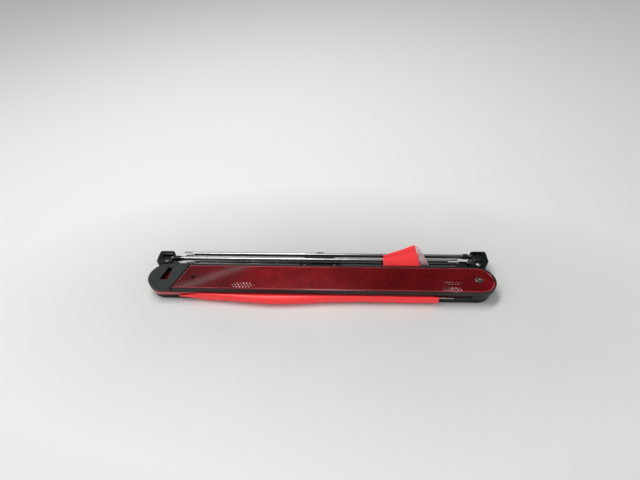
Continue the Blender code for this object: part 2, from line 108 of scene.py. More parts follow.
class Look:
    """A node material under construction."""

    def __init__(self, name, colour=(0.5, 0.5, 0.5), roughness=0.5, **sockets):
        self.material = bpy.data.materials.new(name)
        self.material.use_nodes = True
        self.tree = self.material.node_tree
        self.shader = self.tree.nodes["Principled BSDF"]
        self.shader.inputs["Base Color"].default_value = (*colour, 1.0)
        self.shader.inputs["Roughness"].default_value = roughness
        for socket, value in sockets.items():
            self.shader.inputs[socket.replace("_", " ")].default_value = value
        self.place = self.tree.nodes.new("ShaderNodeTexCoord").outputs["Object"]

    def put(self, value, socket):
        if isinstance(value, bpy.types.NodeSocket):
            self.tree.links.new(value, socket)
        elif value is not None:
            socket.default_value = value

    def node(self, kind, *inputs, **settings):
        made = self.tree.nodes.new(kind)
        for key, value in settings.items():
            setattr(made, key, value)
        for socket, value in zip(made.inputs, inputs):
            self.put(value, socket)
        return made

    def math(self, operation, a, b=None, c=None):
        return self.node("ShaderNodeMath", a, b, c, operation=operation).outputs[0]

    def chance(self, a, b):
        """One random value for each cell between whole numbers of a and b."""
        corner = (self.math("FLOOR", a), self.math("FLOOR", b), 0.0)
        cell = self.node("ShaderNodeCombineXYZ", *corner).outputs[0]
        made = self.node("ShaderNodeTexWhiteNoise", cell, noise_dimensions="3D")
        return made.outputs["Value"]

    def stretched(self, x, y, z):
        made = self.node("ShaderNodeMapping", self.place)
        made.inputs["Scale"].default_value = (x, y, z)
        return made.outputs[0]

    def noise(self, size, detail=3.0, rough=0.55, where=None):
        """Noise whose blobs are about size millimetres across."""
        made = self.node("ShaderNodeTexNoise")
        self.put(where or self.place, made.inputs["Vector"])
        made.inputs["Scale"].default_value = 1000.0 / size
        made.inputs["Detail"].default_value = detail
        made.inputs["Roughness"].default_value = rough
        return made.outputs["Fac"]

    def ramp(self, value, *stops):
        """stops are (position, grey or colour)."""
        made = self.node("ShaderNodeValToRGB", value)
        marks = made.color_ramp.elements
        while len(marks) < len(stops):
            marks.new(0.5)
        for mark, (position, colour) in zip(marks, stops):
            mark.position = position
            grey = isinstance(colour, (int, float))
            mark.color = (colour, colour, colour, 1.0) if grey else (*colour, 1.0)
        return made.outputs["Color"]

    def mix(self, share, a, b, blend="MIX"):
        made = self.node("ShaderNodeMix", data_type="RGBA", blend_type=blend)
        self.put(share, made.inputs[0])
        for value, socket in ((a, made.inputs[6]), (b, made.inputs[7])):
            self.put((*value, 1.0) if isinstance(value, tuple) else value, socket)
        return made.outputs[2]

    def colour(self, value):
        self.put(value, self.shader.inputs["Base Color"])

    def rough(self, value):
        self.put(value, self.shader.inputs["Roughness"])

    def bump(self, height, distance, strength=1.0, before=None):
        made = self.node("ShaderNodeBump")
        made.inputs["Strength"].default_value = strength
        made.inputs["Distance"].default_value = distance * MM
        self.put(height, made.inputs["Height"])
        if before is not None:
            self.put(before, made.inputs["Normal"])
        self.put(made.outputs["Normal"], self.shader.inputs["Normal"])
        return made.outputs["Normal"]


def plastic(name, colour, lighter, roughness=0.42, level=0.5):
    """Moulded plastic: fine grain, drawn-out handling marks, a little dust lying in patches."""
    look = Look(name, colour, roughness, Specular_IOR_Level=level)
    dust = look.ramp(look.noise(26.0, 5.0), (0.46, 0.0), (0.72, 1.0))
    rubbed = look.ramp(look.noise(5.0, 4.0, 0.7), (0.52, 0.0), (0.75, 1.0))
    base = look.mix(look.math("MULTIPLY", dust, 0.5), colour, lighter)
    look.colour(look.mix(look.math("MULTIPLY", rubbed, 0.35), base, lighter))
    scratch = look.noise(7.0, 2.0, 0.5, look.stretched(0.08, 1.4, 1.0))
    marks = look.ramp(scratch, (0.60, 0.0), (0.66, 1.0))
    look.rough(look.math("MULTIPLY_ADD", marks, 0.16, roughness))
    grain = look.noise(0.55, 2.0)
    first = look.bump(grain, 0.05, 0.5)
    look.bump(look.noise(14.0, 2.0), 0.12, 0.35, first)
    return look.material


def steel(name, colour, darker, roughness=0.3, along=(0.006, 1.0, 1.0)):
    """Galvanised sheet steel with faint rolling lines along its length and a few dull stains."""
    look = Look(name, colour, roughness, Metallic=1.0)
    streak = look.noise(1.5, 2.0, 0.5, look.stretched(*along))
    stain = look.ramp(look.noise(30.0, 3.0, 0.6), (0.5, 0.0), (0.75, 1.0))
    lined = look.mix(look.ramp(streak, (0.40, 0.0), (0.62, 0.5)), colour, darker)
    look.colour(look.mix(look.math("MULTIPLY", stain, 0.2), lined, darker))
    look.rough(look.math("MULTIPLY_ADD", stain, 0.1, roughness))
    look.bump(streak, 0.02, 0.25)
    return look.material


def prisms(look, across, up):
    """The height of three crossing sets of slopes, and a random value for each cell."""
    x = look.math("MULTIPLY", across, 1000.0 / PRISM_PITCH)
    y = look.math("MULTIPLY", up, 1000.0 / PRISM_PITCH * 0.5774)
    one = look.math("ADD", x, y)
    two = look.math("SUBTRACT", x, y)
    rise = look.math("PINGPONG", one, 0.5)
    fall = look.math("PINGPONG", two, 0.5)
    level = look.math("PINGPONG", look.math("MULTIPLY", y, 2.0), 0.5)
    height = look.math("MAXIMUM", look.math("MAXIMUM", rise, fall), level)
    return height, look.chance(one, two)


def near_edge_row(look, across, up):
    """Short pale marks, one to a prism, along the reflector's edge towards -Y."""
    edge = look.math("LESS_THAN", up, -18.3 * MM)
    count = look.math("MULTIPLY", across, 1000.0 / PRISM_PITCH)
    tick = look.math("LESS_THAN", look.math("PINGPONG", count, 0.5), 0.17)
    return look.math("MULTIPLY", look.math("MULTIPLY", edge, tick), 0.5)


def painted_sparks(look, across, up):
    """A slanted grid of painted highlight dots, each with its own brightness."""
    tall = look.math("MULTIPLY", up, 1000.0 / DOT_PITCH_Y)
    wide = look.math("MULTIPLY", across, 1000.0 / DOT_PITCH_X)
    wide = look.math("ADD", wide, look.math("MULTIPLY", tall, 0.5))
    columns = look.math("PINGPONG", wide, 0.5)
    rows = look.math("PINGPONG", tall, 0.5)
    dotted = look.ramp(look.math("MULTIPLY", columns, rows), (0.09, 0.0), (0.15, 1.0))
    bright = look.math("MULTIPLY_ADD", look.chance(wide, tall), 0.8, 0.3)
    return look.math("MULTIPLY", dotted, bright)


def painted_glint(look, across, up, painted_spark, x, y, length, width, strength):
    """The painted highlight dots inside one soft-edged ellipse."""
    dx = look.math("SUBTRACT", across, x * MM)
    dx = look.math("MULTIPLY", dx, 1.0 / (length * MM))
    dy = look.math("SUBTRACT", up, y * MM)
    dy = look.math("MULTIPLY", dy, 1.0 / (width * MM))
    far = look.math("ADD", look.math("MULTIPLY", dx, dx), look.math("MULTIPLY", dy, dy))
    near = look.math("MAXIMUM", look.math("SUBTRACT", 1.0, far), 0.0)
    soft = look.math("MINIMUM", look.math("MULTIPLY", near, 2.0), 1.0)
    return look.math("MULTIPLY", look.math("MULTIPLY", soft, painted_spark), strength)


def reflector(name, deep, bright, painted_glint_patches=()):
    """Dark red reflector: rows of small three-sided prisms under a smooth glossy skin. Its colour
    carries painted light: a painted glow along the bar, painted shading on the prism facets and, when
    patches are given, painted glints.
    """
    look = Look(name, deep, 0.22, Coat_Weight=1.0, Coat_Roughness=0.06, Coat_IOR=1.4)
    look.shader.inputs["Specular IOR Level"].default_value = 0.1
    across, up = look.node("ShaderNodeSeparateXYZ", look.place).outputs[:2]
    height, chance = prisms(look, across, up)
    # Painted glow: the red is painted brighter where the prisms send light back, by place along the bar
    # and in soft clouds.
    painted_prism_glow = look.ramp(look.math("MULTIPLY_ADD", across, 1000.0 / BAR_LENGTH, 0.5), *PAINTED_PRISM_GLOW)
    cloud = look.ramp(look.noise(38.0, 3.0, 0.6), (0.38, 0.0), (0.66, 1.0))
    # Painted shading: the high parts of the prism relief are painted lighter than its hollows.
    painted_facet_shade = look.ramp(height, (0.22, 0.0), (0.5, 1.0))
    amount = look.math("MULTIPLY", painted_prism_glow, look.math("MULTIPLY_ADD", cloud, 0.6, 0.55))
    amount = look.math("ADD", amount, look.math("MULTIPLY", painted_facet_shade, 0.10))
    amount = look.math("ADD", amount, look.math("MULTIPLY", chance, 0.12))
    base = look.ramp(amount, (0.08, deep), (0.95, bright))
    base = look.mix(near_edge_row(look, across, up), base, (0.26, 0.05, 0.055))
    if painted_glint_patches:
        # Painted glints: the dots inside each patch mix the colour towards a pale pink highlight.
        painted_spark = painted_sparks(look, across, up)
        painted_shine, *others = [painted_glint(look, across, up, painted_spark, *patch) for patch in painted_glint_patches]
        for other in others:
            painted_shine = look.math("MAXIMUM", painted_shine, other)
        base = look.mix(painted_shine, base, (0.95, 0.62, 0.66))
    look.colour(base)
    look.bump(height, 0.35, 0.5)
    wave = look.node("ShaderNodeBump")
    wave.inputs["Strength"].default_value = 0.3
    wave.inputs["Distance"].default_value = 0.06 * MM
    look.put(look.noise(20.0, 3.0), wave.inputs["Height"])
    look.put(wave.outputs["Normal"], look.shader.inputs["Coat Normal"])
    return look.material


def painted_edge_light(name, colour, deep):
    """The moulded edge of a reflector, painted a brighter red: a painted glow for light that runs
    inside the plastic and comes out at the edge, and a painted highlight on the rim's bevel.
    """
    look = Look(name, colour, 0.2, Coat_Weight=1.0, Coat_Roughness=0.08)
    streak = look.noise(9.0, 3.0, 0.6, look.stretched(0.3, 1.0, 1.0))
    look.colour(look.mix(look.ramp(streak, (0.40, 0.0), (0.66, 1.0)), colour, deep))
    look.bump(look.noise(3.0, 2.0), 0.05, 0.4)
    return look.material


def film(name, colour, pale, painted_fluorescence):
    """Fluorescent plastic film: even, slightly hazy, with fine creases."""
    look = Look(name, colour, 0.42, Coat_Weight=0.12, Coat_Roughness=0.15)
    haze = look.ramp(look.noise(22.0, 3.0), (0.42, 0.0), (0.75, 1.0))
    look.colour(look.mix(look.math("MULTIPLY", haze, 0.25), colour, pale))
    crease = look.noise(5.0, 3.0, 0.6, look.stretched(0.12, 1.0, 1.0))
    first = look.bump(crease, 0.25, 0.45)
    look.bump(look.noise(0.8, 2.0), 0.03, 0.4, first)
    # Painted glow: an emission in the film's own colour, standing for its fluorescence.
    look.shader.inputs["Emission Color"].default_value = (*colour, 1.0)
    look.shader.inputs["Emission Strength"].default_value = painted_fluorescence
    return look.material


def milky(name):
    """Thin unprinted film, half clear."""
    pink, pale = (0.62, 0.34, 0.38), (0.80, 0.62, 0.66)
    look = Look(name, pink, 0.3, Alpha=0.62, Coat_Weight=0.3, Coat_Roughness=0.15)
    look.colour(look.ramp(look.noise(6.0, 3.0), (0.35, pink), (0.7, pale)))
    look.bump(look.noise(3.0, 2.0, 0.5, look.stretched(0.3, 1.0, 1.0)), 0.15, 0.4)
    return look.material


def paper_floor(name):
    """A pale matt table with painted shade: greyer round the middle, where the bars stand, and whiter
    away from it.
    """
    look = Look(name, (0.74, 0.745, 0.74), 0.55)
    # Painted shade: the colour turns whiter with distance from the middle.
    away = look.node("ShaderNodeVectorMath", look.stretched(1.6, 3.4, 1.0), operation="LENGTH")
    painted_shade_falloff = look.ramp(away.outputs["Value"], (0.28, 0.0), (0.80, 1.0))
    greyest, palest = (0.70, 0.71, 0.705), (0.76, 0.762, 0.755)
    cloud = look.ramp(look.noise(160.0, 3.0), (0.3, greyest), (0.7, palest))
    look.colour(look.mix(painted_shade_falloff, cloud, (0.95, 0.95, 0.95)))
    look.bump(look.noise(1.5, 2.0), 0.05, 0.3)
    return look.material


BLACK = plastic("black_moulding", (0.004, 0.005, 0.006), (0.018, 0.019, 0.021), 0.36, 0.3)
TRAY = plastic("tray_moulding", (0.011, 0.012, 0.012), (0.042, 0.042, 0.041), 0.42, 0.35)
CAP = plastic("cap_moulding", (0.011, 0.014, 0.015), (0.034, 0.038, 0.039), 0.5, 0.4)
BOOT = plastic("boot_moulding", (0.008, 0.009, 0.010), (0.03, 0.031, 0.033), 0.3)
DEEP_RED = (0.045, 0.0008, 0.0018)
BRIGHT_RED = (0.32, 0.009, 0.014)
RED = reflector("red_reflector", DEEP_RED, BRIGHT_RED)
FRONT_RED = reflector("front_red_reflector", DEEP_RED, BRIGHT_RED, PAINTED_GLINTS)
# Painted highlight: a pale red for the far bevel of the front reflector's rim.
PAINTED_RIM_HIGHLIGHT = painted_edge_light("reflector_rim_painted_highlight", (0.92, 0.17, 0.19), (0.62, 0.08, 0.10))
# Painted glow: a bright red for the middle reflector's side faces, which lie in shade.
PAINTED_SIDE_GLOW = painted_edge_light("reflector_side_painted_glow", (0.50, 0.025, 0.045), (0.26, 0.008, 0.016))
GALVANISED = steel("galvanised_channel", (0.50, 0.50, 0.51), (0.27, 0.27, 0.28), 0.24)
# Painted shade: a darker copy of the galvanised steel for the inside of each channel and its forked
# tip.
PAINTED_SHADE_STEEL = steel("galvanised_web_painted_shade", (0.20, 0.20, 0.205), (0.10, 0.10, 0.10), 0.36)
PLATED = steel("plated_rivet", (0.62, 0.61, 0.58), (0.33, 0.32, 0.30), 0.26, (1.0, 1.0, 1.0))
DULL = steel("dull_rivet", (0.16, 0.155, 0.15), (0.06, 0.06, 0.06), 0.5, (1.0, 1.0, 1.0))
BRASS = steel("brassy_rivet", (0.34, 0.27, 0.21), (0.07, 0.05, 0.04), 0.3, (1.0, 1.0, 1.0))
# Painted shade: near-black red for the faces inside the small pit in the front reflector.
PAINTED_PIT_SHADE = plastic("reflector_pit_painted_shade", (0.008, 0.0006, 0.001), (0.018, 0.002, 0.003), 0.7, 0.1)
FLUORESCENT = film("fluorescent_film", (0.95, 0.030, 0.036), (1.0, 0.07, 0.075), 0.16)
CLEAR = milky("milky_film")


# ---------------------------------------------------------------- mesh helpers


def arc(x, y, radius, start, end, count):
    angles = [math.radians(start + (end - start) * i / count) for i in range(count + 1)]
    return [(x + radius * math.cos(a), y + radius * math.sin(a)) for a in angles]


def circle(x, y, radius, count=48):
    return arc(x, y, radius, 0, 360, count)[:-1]


def rounded(x0, x1, y0, y1, corner, steps=6):
    points = arc(x1 - corner, y0 + corner, corner, -90, 0, steps)
    points += arc(x1 - corner, y1 - corner, corner, 0, 90, steps)
    points += arc(x0 + corner, y1 - corner, corner, 90, 180, steps)
    points += arc(x0 + corner, y0 + corner, corner, 180, 270, steps)
    return points


def stadium(inset=0.0, left=None, right=None, slant=-SLANT, count=48, ends=BOTH_ENDS):
    r = HALF_WIDTH - inset
    slope = math.hypot(1.0, SLANT)
    if right is None:
        points = arc(ends[1], 0, r, -90, 90, count)
    else:
        x = right - inset * slope
        points = [(x - slant * r, -r), (x + slant * r, r)]
    if left is None:
        points += arc(ends[0], 0, r, 90, 270, count)
    else:
        x = left + inset * slope
        points += [(x + SLANT * r, r), (x - SLANT * r, -r)]
    return points


def levels(outline, *heights):
    return [[(x, y, z) for x, y in outline] for z in heights]


def finish_mesh(name, shape, material, smooth=34):
    bmesh.ops.recalc_face_normals(shape, faces=shape.faces)
    mesh = bpy.data.meshes.new(name)
    shape.to_mesh(mesh)
    shape.free()
    made = bpy.data.objects.new(name, mesh)
    bpy.context.scene.collection.objects.link(made)
    if material is not None:
        mesh.materials.append(material)
    mesh.shade_smooth()
    mesh.set_sharp_from_angle(angle=math.radians(smooth))
    return made


def loft(name, rings, material=None, matrix=None, smooth=34):
    """A closed solid through rings of points given in millimetres."""
    shape = bmesh.new()
    rows = [[shape.verts.new(Vector(p) * MM) for p in ring] for ring in rings]
    for low, high in zip(rows, rows[1:]):
        for i in range(len(low)):
            j = (i + 1) % len(low)
            shape.faces.new((low[i], low[j], high[j], high[i]))
    shape.faces.new(rows[0][::-1])
    shape.faces.new(rows[-1])
    if matrix is not None:
        shape.transform(matrix)
    return finish_mesh(name, shape, material, smooth)


def turned(name, x, y, profile, material=None, count=48):
    rings = [[(px, py, z) for px, py in circle(x, y, r, count)] for r, z in profile]
    return loft(name, rings, material)


def evaluated(obj):
    """Bakes an object's modifiers into its mesh."""
    bpy.context.view_layer.update()
    graph = bpy.context.evaluated_depsgraph_get()
    mesh = bpy.data.meshes.new_from_object(obj.evaluated_get(graph))
    obj.modifiers.clear()
    obj.data = mesh
    return obj


def carve(obj, *tools, operation="DIFFERENCE", bevel=0.0, smooth=34):
    """Cuts tools out of obj, or adds them, eases the edges and drops the tools."""
    for tool in tools:
        modifier = obj.modifiers.new(tool.name, "BOOLEAN")
        modifier.operation = operation
        modifier.solver = "EXACT"
        modifier.object = tool
    if bevel:
        ease = obj.modifiers.new("ease", "BEVEL")
        ease.width = bevel * MM
        ease.segments = 2
        ease.limit_method = "ANGLE"
        ease.angle_limit = math.radians(40)
        ease.use_clamp_overlap = True
    evaluated(obj)
    for tool in tools:
        bpy.data.objects.remove(tool, do_unlink=True)
    obj.data.shade_smooth()
    obj.data.set_sharp_from_angle(angle=math.radians(smooth))
    return obj


def tilted(y, z, lean):
    return Matrix.Translation(Vector((0, y, z)) * MM) @ Matrix.Rotation(-lean, 4, "X")


def place(obj, body, slot, *nodes):
    """Puts a piece on its CAD body in place of some nodes."""
    if nodes:
        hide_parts(*nodes)
    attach(obj, body)
    return obj


# ---------------------------------------------------------------- reflectors


def lens_rings(outline, low, top, inset, rim):
    """A bevelled rim that stands a little above the flat face inside it."""
    rings = levels(outline(inset), low, top - 0.75)
    rings += levels(outline(inset + 0.12), top - 0.42)
    rings += levels(outline(inset + 0.42), top - 0.12)
    rings += levels(outline(inset + 0.85), top)
    rings += levels(outline(inset + rim), top)
    rings += levels(outline(inset + rim + 0.35), top - 0.12)
    rings += levels(outline(inset + rim + 0.6), top - 0.32)
    return rings


def lens_hole(side, *profile):
    return turned("hole", side * PIVOT_X, 0, profile)


def build_front_lens():
    top = TOP_Z[1]
    end = -SLANT_X - 0.1 - BORDER * math.hypot(1.0, SLANT) - SLANT * LENS_SHIFT

    def outline(d):
        return [(x, y + LENS_SHIFT) for x, y in stadium(d, left=end)]

    front = loft("top_arm_reflector", lens_rings(outline, top - 1.7, top, BORDER, 1.3), FRONT_RED)
    hole = lens_hole(1, (LENS_HOLE_R, top - 3.0), (LENS_HOLE_R, top - 0.6), (6.9, top + 0.5))
    pit = turned("pit", *PIT_XY, [(0.8, top - 1.2), (2.7, top - 0.9), (3.3, top + 0.3)], count=24)
    carve(front, hole, pit, smooth=28)
    front.data.materials.append(PAINTED_RIM_HIGHLIGHT)
    front.data.materials.append(PAINTED_PIT_SHADE)
    for face in front.data.polygons:
        x, y, z = face.center / MM
        normal = face.normal
        # The pit's walls get the painted shade.
        if math.hypot(x - PIT_XY[0], y - PIT_XY[1]) < 3.5 and normal.z < 0.995:
            face.material_index = 2
        # The painted rim highlight goes only on bevel faces near the outline that face +Y and on those
        # that face +X round the right end.
        outer = abs(y - LENS_SHIFT) > 18.6 or x > 212.0
        away = normal.y > 0.1 or normal.x > 0.3
        if outer and away and 0.3 < normal.z < 0.97 and z > top - 0.5:
            face.material_index = 1
    place(front, "top_arm", "top_lens", "top_arm_lens")

    profile = [(6.25, top - 1.9), (6.25, top - 0.5), (6.1, top - 0.32), (5.8, top - 0.3)]
    collar = turned("top_lens_collar", PIVOT_X, 0, profile, RED)
    carve(collar, lens_hole(1, (5.2, top - 3), (5.2, top + 1)), smooth=28)
    place(collar, "top_arm", "top_lens")


def build_middle_lens():
    """The middle reflector: a skirt hangs below its rim, and its near edge is cut back at the right."""
    top = MIDDLE_Z[1]
    rings = lens_rings(lambda d: stadium(d, right=SLANT_X), top - 2.9, top, 0.0, 1.7)
    middle = loft("middle_arm_reflector", rings, RED)
    carve(middle, lens_hole(-1, (LENS_HOLE_R, top - 5), (LENS_HOLE_R, top - 1.0)), smooth=28)
    skirt = loft("skirt", levels(stadium(0.02, right=SKIRT_X, slant=0.0), top - 5.9, top - 2.2))
    inside = stadium(1.5, right=SKIRT_X + 10.0, slant=0.0)
    carve(skirt, loft("inside", levels(inside, top - 7, top)))
    carve(middle, skirt, operation="UNION", smooth=28)
    step = rounded(SKIRT_X + 1.5, 200.0, -25.0, -20.6, 0.2, 1)
    carve(middle, loft("step", levels(step, top - 6, top + 1)), smooth=28)
    middle.data.materials.append(PAINTED_SIDE_GLOW)
    # The skirt's side faces left of SKIRT_X get the painted side glow.
    for face in middle.data.polygons:
        if abs(face.normal.z) < 0.5 and face.center.x < SKIRT_X * MM:
            face.material_index = 1
    place(middle, "middle_arm", "middle_lens", "middle_arm_lens")


def build_base_lens():
    top = BASE_Z[1]

    def outline(d):
        return stadium(d, ends=BASE_ENDS)

    rings = lens_rings(outline, top - 1.7, top, BASE_INSET + BORDER, 1.3)
    lower = loft("base_reflector", rings, RED)
    holes = [lens_hole(s, (LENS_HOLE_R, top - 3), (LENS_HOLE_R, top + 1)) for s in (1, -1)]
    carve(lower, *holes, smooth=28)
    place(lower, "base", "base_lens", "base_lens")


# ---------------------------------------------------------------- legs


def channel_section(track, half=2.75, depth=3.2, bend=0.9):
    """(y, height above the leg's axis) round a channel that is open towards -Y."""
    near, back = track - depth / 2, track + depth / 2 - 0.25
    turns = (0.0, 0.4, 0.8, 1.2, math.pi / 2)
    low = [(back - bend + bend * math.sin(a), -half + bend - bend * math.cos(a)) for a in turns]
    high = [(back - bend + bend * math.cos(a), half - bend + bend * math.sin(a)) for a in turns]
    return [(near, -half)] + low + [(back, -1.0), (back, 1.0)] + high + [(near, half)]


def channel(name, side, track, z, root, tip, material):
    """Sheet steel bent into a channel open towards -Y, its tip cut into a flared fork."""
    section = channel_section(track)
    length = abs(root - tip)
    fork, start = 12.0, 20.0
    marks = [0.0, 2.0, 6.0, 12.0, start]
    marks += [start + (length - start - fork) * i / 24 for i in range(1, 25)]
    marks += [length - fork + fork * i / 6 for i in range(1, 7)]
    shape = bmesh.new()
    rows = []
    for mark in marks:
        past = max(0.0, (mark - (length - fork)) / fork)
        x = root - side * mark
        bow = 0.105 * math.sin(math.pi * mark / length)
        row = []
        for y, h in section:
            flare = math.copysign(0.75 * past * past, h) if abs(h) > 1.5 else 0.0
            row.append(shape.verts.new(Vector((x, y - 0.2 * past, z + h + flare - bow)) * MM))
        rows.append(row)
    for i, (one, two) in enumerate(zip(rows, rows[1:])):
        forked = marks[i] >= length - fork - 0.01
        for k in range(len(section) - 1):
            if forked and 3 <= k <= 8:
                continue
            face = shape.faces.new((one[k], two[k], two[k + 1], one[k + 1]))
            # The web, most of the bends and the whole fork get the painted shade copy; the flanges keep
            # the plain steel.
            face.material_index = 1 if forked or 1 <= k <= 10 else 0
    made = finish_mesh(name, shape, material, 50)
    made.data.materials.append(PAINTED_SHADE_STEEL)
    thick = made.modifiers.new("steel", "SOLIDIFY")
    thick.thickness = 0.7 * MM
    thick.offset = 0.0
    thick.use_even_offset = True
    edge = made.modifiers.new("edge", "BEVEL")
    edge.width = 0.12 * MM
    edge.segments = 1
    edge.limit_method = "ANGLE"
    edge.angle_limit = math.radians(50)
    return evaluated(made)


def tube_rings(x, radius, *depths):
    """Rings round an axis along Y, before the leg's tilt is applied."""
    return [[(x + a, depth, b) for a, b in circle(0, 0, radius, 24)] for depth in depths]


def boot(name, side, track, z, lean, ends):
    """The black socket: an eye on the pin and a sleeve that grips the channel."""
    pin = side * LEG_PIN_X
    steps = ((2.5, -1.7), (3.0, -1.3), (3.0, 1.3), (2.5, 1.7))
    eye = [[(pin + a, depth, b) for a, b in circle(0, 0, r, 32)] for r, depth in steps]
    made = loft(name, eye, BOOT, tilted(track, z, lean))
    near, back = track - 1.6, track + 1.6
    x0, x1 = sorted((side * (ends[0] - 2.0), side * 219.5))
    outline = rounded(x0, x1, near - 0.5, back - 1.0, 0.5, 2)
    core = loft("core", levels(outline, z - 1.8, z + 1.8))
    # The sleeve's ribs: how far along it each ring is, and how far it stands out there.
    ribs = ((0.0, 0.30), (0.04, 0.62), (0.14, 0.78), (0.5, 0.78))
    ribs += ((0.60, 0.55), (0.72, 0.78), (0.92, 0.74), (1.0, 0.4))
    sleeve = []
    for mark, grow in ribs:
        x = side * (ends[0] + (ends[1] - ends[0]) * mark)
        ring = rounded(near - grow, back + grow, z - 3.0 - grow, z + 3.0 + grow, 0.9, 3)
        sleeve.append([(x, y, h) for y, h in ring])
    sleeve = loft("sleeve", sleeve)
    x0, x1 = sorted((side * ends[0], side * ends[1]))
    ring = rounded(near - 0.15, back + 0.15, z - 3.1, z + 3.1, 0.5, 2)
    inside = [[(x, y, h) for y, h in ring] for x in (x0 - 2, x1 + 2)]
    carve(sleeve, loft("inside", inside))
    carve(made, core, sleeve, operation="UNION")
    bore = loft("bore", tube_rings(pin, PIN_HOLE_R, -6, 6), None, tilted(track, z, lean))
    return carve(made, bore, smooth=38)


def build_legs():
    # Side, names, track, height, lean, x of the tip, and the distances of the sleeve's two ends.
    legs = (
        (1, "right", "front", OUTER_Y, FRONT_Z, LEG_TILT, -195.0, (199.0, 206.0)),
        (1, "right", "rear", OUTER_Y, REAR_Z, -LEG_TILT, -199.0, (196.0, 208.0)),
        (-1, "left", "front", INNER_Y, FRONT_Z, LEG_TILT, 190.0, (198.0, 209.3)),
        (-1, "left", "rear", INNER_Y, REAR_Z, -LEG_TILT, 188.0, (191.0, 208.0)),
    )
    for side, end, level, track, z, lean, tip, sleeve in legs:
        name = f"{end}_{level}"
        root = side * LEG_ROOT_X
        steel_leg = channel(f"{name}_channel", side, track, z, root, tip, GALVANISED)
        place(steel_leg, f"{name}_leg_body", "leg_steel", f"{name}_leg")
        socket = boot(f"{name}_boot", side, track, z, lean, sleeve)
        place(socket, f"{name}_leg_body", "socket_plastic", f"{name}_leg_socket")
        NODES[f"{name}_leg_pin"].data.materials[0] = PLATED


# ---------------------------------------------------------------- knuckles and clip


def knuckle_slot(side, track, far, z, up):
    """The slot that a leg turns in, and the hole for its pin."""
    where = tilted(track, z, up * LEG_TILT)
    x0, x1 = sorted((side * 190.0, side * (LEG_PIN_X + 4.0)))
    z0, z1 = sorted((up * -3.7, up * 12.0))
    slot = loft(f"slot_{up}", levels(rounded(x0, x1, -2.7, 2.7, 0.8, 3), z0, z1), None, where)
    reach = (far - track) / math.cos(LEG_TILT) + 4
    hole = tube_rings(side * LEG_PIN_X, PIN_HOLE_R, -4.7, reach)
    return slot, loft(f"pin_{up}", hole, None, where)


def knuckle(side, name, track, far, corner):
    """A moulded block with slots for its two legs.

    corner is how far in from CORNER_X its cut-off corner reaches, and the Y where it ends.
    """
    x0, x1 = sorted(side * x for x in KNUCKLE_X)
    y0, top = KNUCKLE_Y, KNUCKLE_TOP
    eased = ((0.8, 0.2), (0.2, 0.8), (0.0, 1.8), (0.0, top - 2.2))
    eased += ((0.25, top - 1.2), (0.8, top - 0.45), (1.7, top))
    rings = []
    for inset, z in eased:
        radius = max(0.6, 3.6 - inset)
        outline = rounded(x0 + inset, x1 - inset, y0 + inset, far - inset, radius, 6)
        rings += levels(outline, z)
    made = loft(f"{name}_knuckle_body", rings, BLACK)

    foot = levels(rounded(x0 - 5, x1 + 5, 20.0, 28.7, 0.1, 1), -1.0, 5.2)
    screw = [(1.6, -1.0), (1.6, KNUCKLE_STEP + 2)]
    tools = [loft("foot", foot), turned("screw", side * 216.0, 25.8, screw, count=32)]
    reach_x, reach_y = corner
    cut = [(side * CORNER_X, 21.0), (side * CORNER_X, reach_y)]
    cut.append((side * (CORNER_X - reach_x), 21.0))
    tools.append(loft("corner", levels(cut, -1.0, 30.0)))
    step = levels(rounded(x0 - 5, x1 + 5, 20.0, 30.5, 0.1, 1), KNUCKLE_STEP, top + 5)
    tools.append(loft("step", step))
    for z, up in ((FRONT_Z, 1), (REAR_Z, -1)):
        tools += knuckle_slot(side, track, far, z, up)
    x = side * (KNUCKLE_X[1] + 0.4)
    for i in range(3):
        y = y0 + 7.0 + (far - y0 - 14.0) * i / 2
        groove = rounded(x - 0.9, x + 0.9, y - 1.1, y + 1.1, 0.4, 2)
        tools.append(loft(f"groove_{i}", levels(groove, 4.0, top - 4.5)))
    carve(made, *tools, bevel=0.25, smooth=30)
    place(made, "base", "knuckle_plastic", f"{name}_knuckle")


def build_clip():
    """The clip behind the middle of the bar: a plate with a foot, ribs under it and a tip."""
    side = [(29.0, 30.5), (22.0, 42.0), (9.0, 47.0), (7.0, 51.4)]
    outline = [(-29.0, 23.3), (29.0, 23.3)] + side + [(-x, y) for x, y in reversed(side)]
    made = loft("leg_clip", levels(outline, 12.0, 15.0), BLACK)
    foot = loft("foot", levels(rounded(-27, 27, 23.4, 30.4, 1.0), 7.0, 14.0))
    angles = [math.pi * i / 12 for i in range(13)]
    crown = [(-6.8, 7.0), (6.8, 7.0)]
    crown += [(6.8 * math.cos(a), 14.6 + 2.4 * math.sin(a)) for a in angles]
    tip = loft("tip", [[(x, y, z) for x, z in crown] for y in (47.4, 51.2)])
    ridges = []
    for i, x in enumerate((-18.0, -9.0, 0.0, 9.0, 18.0)):
        ridge = rounded(x - 0.6, x + 0.6, 31.0, 44.0 - abs(x) * 0.25, 0.3, 2)
        ridges.append(loft(f"ridge_{i}", levels(ridge, 10.4, 12.6)))
    carve(made, foot, tip, *ridges, operation="UNION")
    profile = [(1.6, 0), (1.6, 20)]
    holes = [turned(f"hole_{s}", s * 21.0, 27.0, profile, count=24) for s in (1, -1)]
    carve(made, *holes, bevel=0.25, smooth=30)
    place(made, "base", "knuckle_plastic", "centre_clip")


# ---------------------------------------------------------------- rivets


